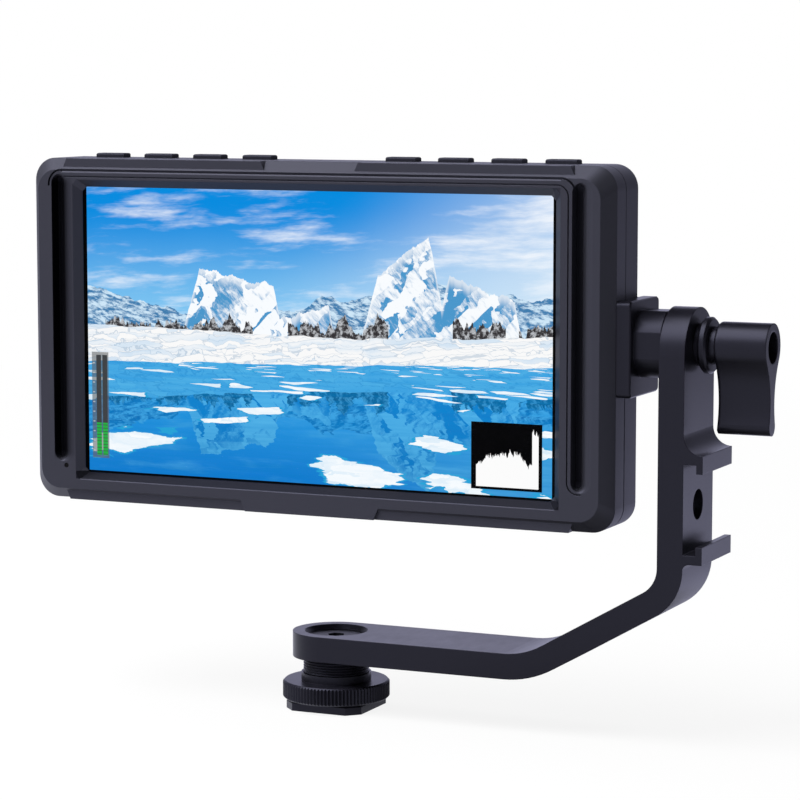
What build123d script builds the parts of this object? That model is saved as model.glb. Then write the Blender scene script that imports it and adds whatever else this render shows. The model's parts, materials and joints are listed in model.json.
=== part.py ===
from build123d import *
import os
from math import cos, radians, sin, tan

# Camera field monitor on a bent tilt arm with a shoe mount.
# Millimetres. Origin: centre of the shoe foot's underside. +X to the viewer's right,
# the screen faces -Y, +Z up. The tilt axis runs along X above the line of the foot.

os.makedirs("parts", exist_ok=True)

# ---------------------------------------------------------------- clearances
run_gap = 0.05          # radial clearance of a turning fit
face_gap = 0.05         # axial gap between faces that turn on each other
slip = 0.1              # clearance round a sliding or dropped-in piece
screw_gap = 0.2         # radial clearance of a screw in a plain hole
nip = 0.15              # gap left between the wheel and the foot plate at rest

# ---------------------------------------------------------------- shoe foot and lock wheel
foot_w = 18.0
foot_t = 1.9
foot_corner = 2.6
neck_r = 6.1            # passes between the rails of a camera's shoe
neck_h = 2.1
shank_r = 7.2
thread_pitch = 0.6
thread_depth = 0.22
thread_run_out = 0.6
wheel_r = 11.7
wheel_h = 3.95
wheel_hub_wall = 0.4
wheel_hub_h = 1.7
wheel_edge = 0.45
knurl_count = 90
knurl_depth = 0.3
grip_r = 10.0
grip_bore_gap = 0.3
grip_t = 0.85

# ---------------------------------------------------------------- tilt arm
arm_w = 19.0
arm_t = 5.5
arm_base_z = 11.3       # underside of the level leg
slope_start_x = 47.9    # where the level leg's top meets the slope
slope_deg = 30.0
toe_bend_r = 17.0
upright_x = 77.2        # inner face of the upright
heel_bend_r = 6.0
pivot_z = 82.6          # height of the tilt axis
head_rise = 7.8         # top of the upright above the tilt axis
recess_r = 6.95
recess_floor_r = 6.1
recess_depth = 1.0

# screw that holds the arm on the shank
arm_screw_head_t = 1.8
arm_screw_r = 3.0
arm_screw_len = 8.0
arm_screw_key = 3.4     # across the flats of the hex socket
arm_screw_key_depth = 1.4

# cold shoe on the outside of the upright
shoe_slot_h = 18.6      # accessory shoe width
shoe_slot_z = 49.65     # middle of the slot
claw_out = 4.1
claw_bar_t = 1.9
claw_lip_t = 1.35
claw_lip_h = 1.8
claw_foot_r = 1.3
tripod_r = 3.175        # quarter-inch thread

# ---------------------------------------------------------------- pivot and clamp lever
clamp_r = 3.1
washer_t = 0.5
washer_r = 7.0
barrel_r = 7.4
barrel_flats = 13.76
barrel_len = 5.85
plate_t = 3.1
plate_narrower = 1.5    # than the arm
plate_taller = 0.9
plate_drop = 0.9        # plate's centre below the tilt axis
plate_corner = 1.1
plate_edge = 0.3
insert_r = 4.2
insert_len = 8.5
flange_r = 5.85
flange_t = 3.0
flange_hub_r = 4.4      # step against the upright
flange_hub_len = 1.15
flange_bevel = 0.45
collar_r = 3.9
collar_len = 1.4
lever_r = 5.0
lever_len = 11.2
lever_edge = 0.7
lever_drop = 18.1
lever_neck_deg = 52.0     # where the paddle leaves the barrel, from straight down
lever_waist = 1.35
lever_waist_z = 11.3
lever_tip = 1.95
lever_tip_z = 15.9
lever_bore_r = 3.3
lever_bore_depth = 5.0
lever_screw_r = 1.5
lever_screw_len = 5.0
lever_screw_head_t = 1.8
lever_screw_key = 2.0

# ---------------------------------------------------------------- monitor case
body_w = 137.2
body_h = 75.6
corner_r = 5.0
face_corner_r = 4.4     # corners of the flat face, inside the rim slope
back_corner_r = 3.6
least_corner_r = 2.0    # corners inside the hollows
body_drop = 1.2         # case centre below the tilt axis
wall = 2.0
screen_ahead = 10.0     # glass ahead of the tilt axis
glass_recess = 1.8
rim_in = 2.5
rim_depth = 3.2
parting_ahead = 3.4     # joint line ahead of the tilt axis
rear_wall_d = 7.2
rear_taper_d = 4.7
rear_taper_in = 3.2
seam = 0.22
lip_t = 0.9
lip_h = 1.2
lip_root = 0.6
bezel_floor = 4.8       # thickness of the frame round the screen

bezel_side = 12.75      # case edge to the window, each side
bezel_top = 6.2         # case edge to the window, top and bottom
window_slope = 1.6
window_corner = 1.05
clip_left_in = 5.9      # left hood clip channel's steep wall to the case's left side
clip_right_in = 4.1     # right channel's soft edge to the case's right side
clip_floor_w = 1.5
clip_slope_w = 3.0      # rounded right-hand side of each channel
clip_depth = 2.9
clip_top_in = 4.0       # channel floor's top end below the case's top
clip_foot_in = 9.2      # channel floor's lower end above the case's underside
clip_end = 0.7          # how much further each end reaches at the face
clip_steps = 6          # flats in the rounded side
top_line_in = 2.55      # groove over the window, below the case's top
top_line_w = 0.45
top_line_depth = 0.9
top_line_out = 0.75     # the groove's left end, outside the left channel's wall
top_line_r = 3.2
bead_t = 1.4            # from that groove down to the fine line under the bead
bead_side = 0.85        # from the fine line to the right channel
bead_edge = 0.3
bead_line_w = 0.28
bead_line_depth = 0.5
bead_line_r = 2.4
bead_line_low = 0.35    # the fine line's lower end, under the right channel
ledge_back = 0.75       # long panels on the rim, behind the face
ledge_end_in = 8.4      # their ends to the case's side
ledge_slant = 0.9
ledge_gap_top = 10.6    # half the space between the upper pair
badge_half_w = 16.4     # flat part of the face that runs down between the lower pair
badge_slant = 1.1

# ---------------------------------------------------------------- screen stack
glass_t = 1.1
glass_lap = 1.9         # glass hidden behind the frame on each side
panel_t = 1.2
light_t = 2.4
panel_in = 0.6
gasket_t = 0.25
bracket_t = 0.6

# ---------------------------------------------------------------- keys on top
key_count = 8
key_w = 7.0
key_d = 3.0
key_proud = 0.95
key_first = 17.1
key_last_in = 15.0      # last key's centre to the case's side
key_behind_seam = 3.2
key_edge = 0.4
key_notch = 1.2
key_notch_x = 1.6
key_notch_depth = 0.2
key_travel = 0.4
key_flange = 0.5
key_flange_t = 0.6
key_board_t = 1.0
tact_w = 4.4
tact_h = 1.5
tact_plunger_r = 0.9
tact_plunger_h = 0.5

# ---------------------------------------------------------------- boards and ports
board_t = 1.2
board_top_in = 12.7
port_behind_seam = 3.6
hdmi_w = 15.0
hdmi_h = 5.6
hdmi_len = 11.0
hdmi_skin = 0.45
hdmi_tongue_in = 2.3
hdmi_tongue_t = 1.1
hdmi_tongue_w = 11.0
hdmi_mouth = 8.8
jack_bore_r = 1.8
jack_nose_r = 2.8
power_bore_r = 2.75
power_pin_r = 0.8
power_nose_r = 3.3
jack_len = 11.0
jack_block = 6.4
power_len = 9.0
power_bore_len = 10.0
jack_bore_len = 12.0
board_side_gap = 0.5
led_r = 0.55
led_side_in = 8.8
led_foot_in = 7.6
sink_t = 1.6
sink_w = 30.0
sink_base_t = 0.6
sink_fin_t = 1.8
sink_fins = 7

# ---------------------------------------------------------------- case screws
post_r = 2.5
post_side_in = 7.0
post_top_in = 7.3
post_screw_r = 1.0
post_head_r = 1.9
post_head_t = 1.2
post_head_sunk = 2.2
post_bite = 1.6
cross_len = 2.5
cross_w = 0.65

# ---------------------------------------------------------------- battery plate
bay_w = 42.0
bay_h = 60.0
bay_t = 4.0
bay_rail_w = 2.0
bay_rail_h = 3.4
bay_lip = 1.2
bay_lip_t = 1.2
bay_contact_w = 16.0
bay_contact_h = 6.0
bay_corner = 2.0
bay_rail_len = 54.0
bay_screw_head_r = 1.9
bay_screw_head_t = 1.3
bay_screw_in = 6.5      # screw centres in from the plate's edges
contact_low = 6.0       # contact centres below the plate's upper edge
contact_sunk = 2.0
contact_proud = 1.2
contact_pitch = 5.0
contact_t = 2.0
latch_w = 8.0
latch_h = 9.0
latch_t = 2.6
latch_catch = 1.4
latch_room = 6.0
latch_low = 8.0         # pocket floor above the plate's lower edge
spring_r = 0.95
spring_wire = 0.4
spring_turns = 4

# ---------------------------------------------------------------- places worked out from the sizes
wheel_z = foot_t + nip
arm_top_z = arm_base_z + arm_t
heel_z = arm_top_z + (upright_x - slope_start_x) * tan(radians(slope_deg))
arm_out_x = upright_x + arm_t
plate_d = arm_w - plate_narrower
plate_h = arm_w + plate_taller
side_x = upright_x - washer_t - face_gap - barrel_len - plate_t
body_x = side_x - body_w / 2
left_x = side_x - body_w
body_z = pivot_z - body_drop
screen_y = -screen_ahead
front_y = screen_y - glass_recess
edge_y = front_y + rim_depth
floor_y = front_y + bezel_floor
parting_y = -parting_ahead
wall_end_y = parting_y + rear_wall_d
back_y = wall_end_y + rear_taper_d
back_in_y = back_y - wall
top_z = body_h / 2
end_x = body_w / 2
window_w = body_w - 2 * bezel_side
window_h = body_h - 2 * bezel_top
clip_w = clip_floor_w + clip_slope_w
clip_left = clip_left_in - end_x
clip_right = end_x - clip_right_in - clip_w
clip_h = body_h - clip_top_in - clip_foot_in
clip_mid_z = (clip_foot_in - clip_top_in) / 2
clip_low = clip_foot_in - clip_end - top_z
top_line_z = top_z - top_line_in
bead_line_z = top_line_z - bead_t
bead_line_x = clip_right - bead_side
ledge_end = end_x - ledge_end_in
ledge_y = front_y + ledge_back
ledge_h = rim_in * (1 - ledge_back / rim_depth)
key_pitch = (end_x - key_last_in - key_first) / (key_count // 2 - 1)
led_x = led_side_in - end_x
led_z = led_foot_in - top_z
post_x = end_x - post_side_in
post_z = top_z - post_top_in
board_h = body_h - 2 * board_top_in
key_y = parting_y + key_behind_seam
port_y = parting_y + port_behind_seam
board_y = port_y + hdmi_h / 2
key_places = [side * (key_first + i * key_pitch) for side in (-1, 1) for i in range(key_count // 2)]
key_places.sort()
post_places = [(sx * post_x, sz * post_z) for sx in (-1, 1) for sz in (-1, 1)]
port_room = 2 * (post_z - post_r)
port_gap = (port_room - 2 * hdmi_w - jack_block - 2 * power_nose_r) / 5
hdmi_in_z = post_z - post_r - port_gap - hdmi_w / 2
hdmi_out_z = hdmi_in_z - port_gap - hdmi_w
jack_z = hdmi_out_z - port_gap - (hdmi_w + jack_block) / 2
power_z = jack_z - port_gap - jack_block / 2 - power_nose_r
hdmi_places = {"hdmi_in": hdmi_in_z, "hdmi_out": hdmi_out_z}
board_left = left_x + wall + board_side_gap
board_right = side_x - insert_len - 2 * wall
bay_face_y = back_y + bay_t
contact_z = bay_h / 2 - contact_low
latch_low_z = latch_low - bay_h / 2
latch_mid_z = latch_low_z + latch_room + latch_h / 2
bay_screw_x = bay_w / 2 - bay_screw_in
bay_screw_z = bay_h / 2 - bay_screw_in
bay_screw_places = [(sx * bay_screw_x, sz * bay_screw_z) for sx in (-1, 1) for sz in (-1, 1)]


def facing(y):
    """Plane square to the screen at depth y, centred on the case, drawn as seen from the front."""
    return Plane(origin=(body_x, y, body_z), x_dir=(1, 0, 0), z_dir=(0, -1, 0))


def across(x):
    """Plane square to the tilt axis at x, centred on that axis: local x runs back, local y up."""
    return Plane(origin=(x, 0, pivot_z), x_dir=(0, 1, 0), z_dir=(1, 0, 0))


def finish(piece, name):
    """Label a finished piece and write it."""
    piece.part.label = name
    export_step(piece.part, "parts/" + name + ".step")


# ================================================================ shoe foot with threaded shank
with BuildPart() as shoe_foot:
    with BuildSketch(Plane.XY):
        foot_outline = Rectangle(foot_w, foot_w)
        chamfer(foot_outline.vertices(), foot_corner)
    extrude(amount=foot_t)
    chamfer(shoe_foot.faces().sort_by(Axis.Z)[-1].edges(), foot_t * 0.15)
    with BuildSketch(Plane.XY.offset(foot_t)):
        Circle(neck_r)
    extrude(amount=neck_h)
    with BuildSketch(Plane.XY.offset(foot_t + neck_h)):
        Circle(shank_r)
    extrude(amount=arm_base_z - foot_t - neck_h)
    thread_low = foot_t + neck_h + thread_run_out
    thread_turns = int((arm_base_z - thread_low - thread_run_out) / thread_pitch)
    with BuildSketch(Plane.XZ):
        for turn in range(thread_turns + 1):
            groove_z = thread_low + turn * thread_pitch
            with BuildLine():
                Polyline(
                    (shank_r - thread_depth, groove_z),
                    (shank_r + thread_depth, groove_z - thread_pitch * 0.8),
                    (shank_r + thread_depth, groove_z + thread_pitch * 0.8),
                    close=True,
                )
            make_face()
    revolve(axis=Axis.Z, mode=Mode.SUBTRACT)
    with BuildSketch(Plane.XY.offset(arm_base_z)):
        Circle(arm_screw_r)
    extrude(amount=-arm_screw_len, mode=Mode.SUBTRACT)
finish(shoe_foot, "shoe_foot")

# ================================================================ lock wheel and grip washer
with BuildPart() as lock_wheel:
    with BuildSketch(Plane.XY.offset(wheel_z)):
        Circle(wheel_r)
        Circle(shank_r + run_gap, mode=Mode.SUBTRACT)
    extrude(amount=wheel_h)
    rim_edges = lock_wheel.edges().filter_by(GeomType.CIRCLE).group_by(SortBy.RADIUS)[-1]
    chamfer(rim_edges, wheel_edge)
    with BuildSketch(Plane.XY.offset(wheel_z)):
        with PolarLocations(wheel_r, knurl_count):
            Rectangle(knurl_depth * 1.6, knurl_depth * 1.6, rotation=45)
    extrude(amount=wheel_h, mode=Mode.SUBTRACT)
    with BuildSketch(Plane.XY.offset(wheel_z + wheel_h)):
        Circle(shank_r + run_gap + wheel_hub_wall)
        Circle(shank_r + run_gap, mode=Mode.SUBTRACT)
    extrude(amount=wheel_hub_h)
    with BuildSketch(Plane.XY.offset(wheel_z)):
        Circle(grip_r + run_gap)
        Circle(shank_r + run_gap, mode=Mode.SUBTRACT)
    extrude(amount=grip_t + face_gap, mode=Mode.SUBTRACT)
finish(lock_wheel, "lock_wheel")

with BuildPart() as grip_washer:
    with BuildSketch(Plane.XY.offset(wheel_z)):
        Circle(grip_r)
        Circle(shank_r + grip_bore_gap, mode=Mode.SUBTRACT)
    extrude(amount=grip_t)
finish(grip_washer, "grip_washer")

# ================================================================ tilt arm
arm_corners = [
    (-arm_w / 2, arm_top_z),
    (slope_start_x, arm_top_z),
    (upright_x, heel_z),
    (upright_x, pivot_z + head_rise),
    (arm_out_x, pivot_z + head_rise),
    (arm_out_x, heel_z - arm_t * tan(radians(45 - slope_deg / 2))),
    (slope_start_x + arm_t * tan(radians(slope_deg / 2)), arm_base_z),
    (-arm_w / 2, arm_base_z),
]
bend_radii = {1: toe_bend_r, 2: heel_bend_r, 5: heel_bend_r + arm_t, 6: toe_bend_r + arm_t}
slot_low = shoe_slot_z - shoe_slot_h / 2
slot_high = shoe_slot_z + shoe_slot_h / 2

with BuildPart() as tilt_arm:
    with BuildSketch(Plane.XZ) as arm_side:
        with BuildLine():
            Polyline(*arm_corners, close=True)
        make_face()
        for index, bend_r in bend_radii.items():
            fillet(arm_side.vertices().sort_by_distance(arm_corners[index])[0], bend_r)
    extrude(amount=arm_w / 2, both=True)
    # round ends
    with BuildSketch(Plane.XY.offset(arm_base_z)):
        with Locations((-arm_w / 2, 0)):
            Rectangle(arm_w, arm_w * 1.2)
        Circle(arm_w / 2, mode=Mode.SUBTRACT)
    extrude(amount=arm_t, mode=Mode.SUBTRACT)
    with BuildSketch(across(upright_x)):
        with Locations((0, head_rise)):
            Rectangle(arm_w * 1.2, arm_w)
        with Locations((0, head_rise - arm_w / 2)):
            Circle(arm_w / 2, mode=Mode.SUBTRACT)
    extrude(amount=arm_t, mode=Mode.SUBTRACT)
    # cold shoe claws
    with BuildSketch(Plane.XZ):
        with BuildLine():
            tip = (arm_out_x + claw_out, slot_high + claw_bar_t)
            cove_mid = claw_out * (1 - sin(radians(45)))
            ThreePointArc(
                (arm_out_x, tip[1] + claw_out), (arm_out_x + cove_mid, tip[1] + cove_mid), tip
            )
            Polyline(
                tip,
                (tip[0], slot_high - claw_lip_h),
                (tip[0] - claw_lip_t, slot_high - claw_lip_h),
                (tip[0] - claw_lip_t, slot_high),
                (arm_out_x - arm_t / 2, slot_high),
                (arm_out_x - arm_t / 2, tip[1] + claw_out),
                (arm_out_x, tip[1] + claw_out),
            )
        make_face()
        with BuildLine():
            low_face = slot_low - claw_bar_t
            foot_mid = claw_foot_r * (1 - sin(radians(45)))
            ThreePointArc(
                (arm_out_x, low_face - claw_foot_r),
                (arm_out_x + foot_mid, low_face - foot_mid),
                (arm_out_x + claw_foot_r, low_face),
            )
            Polyline(
                (arm_out_x + claw_foot_r, low_face),
                (tip[0], low_face),
                (tip[0], slot_low + claw_lip_h),
                (tip[0] - claw_lip_t, slot_low + claw_lip_h),
                (tip[0] - claw_lip_t, slot_low),
                (arm_out_x - arm_t / 2, slot_low),
                (arm_out_x - arm_t / 2, low_face - claw_foot_r),
                (arm_out_x, low_face - claw_foot_r),
            )
        make_face()
    extrude(amount=arm_w / 2, both=True)
    # holes
    with BuildSketch(across(upright_x)):
        Circle(clamp_r + screw_gap)
        with Locations((0, shoe_slot_z - pivot_z)):
            Circle(tripod_r)
    extrude(amount=arm_t, mode=Mode.SUBTRACT)
    with BuildSketch(Plane.XY.offset(arm_base_z)):
        Circle(arm_screw_r + screw_gap)
    extrude(amount=arm_t, mode=Mode.SUBTRACT)
    with BuildSketch(Plane.XY.offset(arm_top_z - recess_depth)):
        Circle(recess_floor_r)
    extrude(amount=-arm_screw_head_t, mode=Mode.SUBTRACT)
    with BuildSketch(Plane.XY.offset(arm_top_z - recess_depth)):
        Circle(recess_floor_r)
    with BuildSketch(Plane.XY.offset(arm_top_z)):
        Circle(recess_r)
    loft(mode=Mode.SUBTRACT)
finish(tilt_arm, "tilt_arm")

with BuildPart() as arm_screw:
    with BuildSketch(Plane.XY.offset(arm_top_z - recess_depth)):
        Circle(recess_floor_r - run_gap)
    extrude(amount=-arm_screw_head_t)
    with BuildSketch(Plane.XY.offset(arm_top_z - recess_depth - arm_screw_head_t)):
        Circle(arm_screw_r)
    extrude(amount=-(arm_t - recess_depth - arm_screw_head_t + arm_screw_len * 0.8))
    with BuildSketch(Plane.XY.offset(arm_top_z - recess_depth)):
        RegularPolygon(arm_screw_key / 2, 6, major_radius=False)
    extrude(amount=-arm_screw_key_depth, mode=Mode.SUBTRACT)
finish(arm_screw, "arm_screw")

# ================================================================ pivot stack, from the case outwards
with BuildPart() as side_insert:
    with BuildSketch(across(side_x - slip)):
        Circle(insert_r)
        Circle(clamp_r + run_gap, mode=Mode.SUBTRACT)
    extrude(amount=-insert_len)
finish(side_insert, "side_insert")

with BuildPart() as adapter_plate:
    with BuildSketch(across(side_x)):
        with Locations((0, -plate_drop)):
            RectangleRounded(plate_d, plate_h, plate_corner)
    extrude(amount=plate_t)
    chamfer(adapter_plate.faces().sort_by(Axis.X)[-1].edges(), plate_edge)
    with BuildSketch(across(side_x + plate_t)):
        Circle(barrel_r)
        Rectangle(barrel_flats, barrel_flats, mode=Mode.INTERSECT)
    extrude(amount=barrel_len)
    with BuildSketch(across(side_x)):
        Circle(clamp_r + screw_gap)
    extrude(amount=plate_t + barrel_len, mode=Mode.SUBTRACT)
finish(adapter_plate, "adapter_plate")

with BuildPart() as friction_washer:
    with BuildSketch(across(upright_x)):
        Circle(washer_r)
        Circle(clamp_r + screw_gap, mode=Mode.SUBTRACT)
    extrude(amount=-washer_t)
finish(friction_washer, "friction_washer")

flange_x = arm_out_x + face_gap
collar_x = flange_x + flange_t
lever_x = collar_x + collar_len
bore_floor_x = lever_x + lever_len - lever_bore_depth
clamp_in_x = side_x - insert_len
lever_neck = (lever_r * sin(radians(lever_neck_deg)), -lever_r * cos(radians(lever_neck_deg)))

with BuildPart() as clamp_screw:
    with BuildSketch(across(clamp_in_x)):
        Circle(clamp_r)
    extrude(amount=bore_floor_x - clamp_in_x)
    with BuildSketch(across(bore_floor_x)):
        Circle(lever_screw_r)
    extrude(amount=-lever_screw_len, mode=Mode.SUBTRACT)
    chamfer(clamp_screw.faces().sort_by(Axis.X)[0].edges(), clamp_r * 0.15)
finish(clamp_screw, "clamp_screw")

with BuildPart() as flange_washer:
    with BuildSketch(across(flange_x + flange_hub_len)):
        Circle(flange_r)
    extrude(amount=flange_t - flange_hub_len)
    chamfer(flange_washer.edges(), flange_bevel)
    with BuildSketch(across(flange_x)):
        Circle(flange_hub_r)
    extrude(amount=flange_hub_len)
    with BuildSketch(across(flange_x)):
        Circle(clamp_r)
    extrude(amount=flange_t, mode=Mode.SUBTRACT)
finish(flange_washer, "flange_washer")

with BuildPart() as clamp_lever:
    with BuildSketch(across(collar_x)):
        Circle(collar_r)
    extrude(amount=collar_len)
    with BuildSketch(across(lever_x)):
        Circle(lever_r)
        with BuildLine():
            ThreePointArc(lever_neck, (lever_waist, -lever_waist_z), (lever_tip, -lever_tip_z))
            ThreePointArc((lever_tip, -lever_tip_z), (0, -lever_drop), (-lever_tip, -lever_tip_z))
            ThreePointArc(
                (-lever_tip, -lever_tip_z), (-lever_waist, -lever_waist_z), (-lever_neck[0], lever_neck[1])
            )
            Line((-lever_neck[0], lever_neck[1]), lever_neck)
        make_face()
    extrude(amount=lever_len)
    round_edges = clamp_lever.edges().filter_by(GeomType.CIRCLE)
    barrel_ends = round_edges.filter_by(lambda edge: abs(edge.radius - lever_r) < slip)
    fillet(barrel_ends.group_by(Axis.X)[0], lever_edge)
    with BuildSketch(across(lever_x + lever_len)):
        Circle(lever_bore_r)
    extrude(amount=-lever_bore_depth, mode=Mode.SUBTRACT)
    with BuildSketch(across(collar_x)):
        Circle(clamp_r)
    extrude(amount=bore_floor_x - collar_x, mode=Mode.SUBTRACT)
finish(clamp_lever, "clamp_lever")

with BuildPart() as lever_screw:
    with BuildSketch(across(bore_floor_x)):
        Circle(lever_bore_r - slip)
    extrude(amount=lever_screw_head_t)
    with BuildSketch(across(bore_floor_x)):
        Circle(lever_screw_r)
    extrude(amount=-lever_screw_len * 0.8)
    with BuildSketch(across(bore_floor_x + lever_screw_head_t)):
        RegularPolygon(lever_screw_key / 2, 6, major_radius=False)
    extrude(amount=-lever_screw_head_t * 0.6, mode=Mode.SUBTRACT)
finish(lever_screw, "lever_screw")

# ================================================================ front frame
glass_w = window_w + 2 * glass_lap
glass_h = window_h + 2 * glass_lap
top_line_left = clip_left - top_line_out
top_line_right = clip_right + clip_floor_w / 2
bead_side_plane = Plane(
    origin=(body_x + top_line_left + top_line_r, front_y, body_z + top_line_z - top_line_w / 2),
    x_dir=(0, 1, 0),
    z_dir=(1, 0, 0),
)


def case_outline(inset, mode=Mode.ADD, radius=0.0):
    """Rounded outline of the case, drawn inset all round, its corners shrinking with it."""
    corner = radius or max(corner_r - inset, least_corner_r)
    RectangleRounded(body_w - 2 * inset, body_h - 2 * inset, corner, mode=mode)


def rim_panel(start, end, low, high, start_slant, end_slant):
    """Four-sided panel over the rim slope, between two places across and two heights."""
    Polygon((start, low), (end, low), (end + end_slant, high), (start + start_slant, high), align=None)


with BuildPart() as front_frame:
    with BuildSketch(facing(edge_y)):
        case_outline(0)
    extrude(amount=edge_y - parting_y)
    with BuildSketch(facing(edge_y)):
        case_outline(0)
    with BuildSketch(facing(front_y)):
        case_outline(rim_in, radius=face_corner_r)
    loft(ruled=True)
    chamfer(front_frame.faces().sort_by(Axis.Y)[-1].edges(), seam)
    # long upright panels that fill the rim slope, two above and two below, and the flat between
    with BuildSketch(facing(ledge_y)):
        for side in (-1, 1):
            slant = side * ledge_slant
            rim_panel(side * ledge_gap_top, side * ledge_end, top_z - ledge_h, top_z, slant, -slant)
        rim_panel(-ledge_end, ledge_end, ledge_h - top_z, -top_z, ledge_slant, -ledge_slant)
    extrude(amount=ledge_y - edge_y)
    with BuildSketch(facing(front_y)):
        rim_panel(-badge_half_w, badge_half_w, rim_in - top_z, -top_z, badge_slant, -badge_slant)
    extrude(amount=front_y - edge_y)
    # window with sloped sides and cut corners
    with BuildSketch(facing(screen_y)):
        window_in = Rectangle(window_w, window_h)
        chamfer(window_in.vertices(), window_corner)
    with BuildSketch(facing(front_y)):
        window_out = Rectangle(window_w + 2 * window_slope, window_h + 2 * window_slope)
        chamfer(window_out.vertices(), window_corner)
    loft(ruled=True, mode=Mode.SUBTRACT)
    # pocket for the glass and the screen stack, then the open back
    with BuildSketch(facing(screen_y)):
        Rectangle(glass_w + 2 * slip, glass_h + 2 * slip)
    extrude(amount=screen_y - floor_y, mode=Mode.SUBTRACT)
    with BuildSketch(facing(floor_y)):
        case_outline(wall)
        with Locations(*post_places):
            Circle(post_r, mode=Mode.SUBTRACT)
    extrude(amount=floor_y - parting_y, mode=Mode.SUBTRACT)
    # hood clip channels: a steep left wall, a flat floor and a rounded right side
    for clip_x in (clip_left, clip_right):
        for step in range(clip_steps + 1):
            turn = radians(90 * step / clip_steps)
            spread = 1 - sin(turn)
            slot_w = clip_floor_w + clip_slope_w * spread
            with BuildSketch(facing(front_y + clip_depth * (1 - cos(turn)))):
                with Locations((clip_x + slot_w / 2, clip_mid_z)):
                    SlotOverall(clip_h + 2 * clip_end * spread, slot_w, rotation=90)
        loft(ruled=True, mode=Mode.SUBTRACT)
    # groove over the window that turns down at its ends, and the bead under it
    with BuildSketch(facing(front_y)):
        with BuildLine():
            FilletPolyline(
                (top_line_left, top_line_z - top_line_r * 1.1),
                (top_line_left, top_line_z),
                (top_line_right, top_line_z),
                (top_line_right, top_line_z - top_line_r * 1.1),
                radius=top_line_r,
            )
        trace(line_width=top_line_w)
    extrude(amount=-top_line_depth, mode=Mode.SUBTRACT)
    with BuildSketch(bead_side_plane):
        Polygon((0, 0), (bead_edge, 0), (0, -bead_edge), align=None)
    extrude(amount=top_line_right - top_line_left - 2 * top_line_r, mode=Mode.SUBTRACT)
    with BuildSketch(facing(front_y)):
        with BuildLine():
            FilletPolyline(
                (clip_left + clip_w / 2, bead_line_z),
                (bead_line_x, bead_line_z),
                (bead_line_x, clip_low - bead_line_low),
                (clip_right + clip_w / 2, clip_low - bead_line_low),
                radius=bead_line_r,
            )
        trace(line_width=bead_line_w)
    extrude(amount=-bead_line_depth, mode=Mode.SUBTRACT)
    # the side thread sits across the joint line
    with BuildSketch(across(side_x)):
        Circle(insert_r + slip)
    extrude(amount=-wall, mode=Mode.SUBTRACT)
    # status light hole and screw holes
    with BuildSketch(facing(front_y)):
        with Locations((led_x, led_z)):
            Circle(led_r)
    extrude(amount=front_y - floor_y, mode=Mode.SUBTRACT)
    with BuildSketch(facing(parting_y)):
        with Locations(*post_places):
            Circle(post_screw_r)
    extrude(amount=post_bite, mode=Mode.SUBTRACT)
finish(front_frame, "front_frame")

with BuildPart() as power_led:
    with BuildSketch(facing(front_y + slip)):
        with Locations((led_x, led_z)):
            Circle(led_r)
    extrude(amount=front_y + slip - floor_y)
finish(power_led, "power_led")

# ================================================================ screen stack
gasket_y = screen_y
glass_y = gasket_y + gasket_t
panel_y = glass_y + glass_t
light_y = panel_y + panel_t
bracket_y = light_y + light_t
tray_w = glass_w - 2 * panel_in
tray_h = glass_h - 2 * panel_in

with BuildPart() as screen_gasket:
    with BuildSketch(facing(gasket_y)):
        Rectangle(glass_w, glass_h)
        Rectangle(window_w + glass_lap, window_h + glass_lap, mode=Mode.SUBTRACT)
    extrude(amount=-gasket_t)
finish(screen_gasket, "screen_gasket")

with BuildPart() as screen_glass:
    with BuildSketch(facing(glass_y)):
        Rectangle(glass_w, glass_h)
    extrude(amount=-glass_t)
finish(screen_glass, "screen_glass")

with BuildPart() as lcd_panel:
    with BuildSketch(facing(panel_y)):
        Rectangle(tray_w, tray_h)
    extrude(amount=-panel_t)
finish(lcd_panel, "lcd_panel")

with BuildPart() as backlight:
    with BuildSketch(facing(light_y)):
        Rectangle(tray_w, tray_h)
    extrude(amount=-light_t)
finish(backlight, "backlight")

with BuildPart() as screen_bracket:
    with BuildSketch(facing(bracket_y)):
        Rectangle(tray_w, tray_h)
        with GridLocations(tray_w / 3, 0, 3, 1):
            Rectangle(tray_w / 3 * 0.8, tray_h * 0.75, mode=Mode.SUBTRACT)
    extrude(amount=-bracket_t)
finish(screen_bracket, "screen_bracket")

# ================================================================ rear cover
key_slot_w = key_w + 2 * slip
key_slot_d = key_d + 2 * slip
left_wall = Plane(origin=(left_x, port_y, body_z), x_dir=(0, -1, 0), z_dir=(-1, 0, 0))
port_plane = left_wall.offset(-wall - slip)
top_wall = Plane(origin=(body_x, key_y, body_z + top_z), x_dir=(1, 0, 0), z_dir=(0, 0, 1))
pad_len = insert_len + wall
flange_top = top_z - wall - face_gap
plunger_top = flange_top - key_flange_t - key_travel - face_gap
key_board_z = plunger_top - tact_plunger_h - tact_h - key_board_t
key_board_w = 2 * (key_first + (key_count // 2 - 1) * key_pitch) + key_w
rib_w = 3.0

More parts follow.
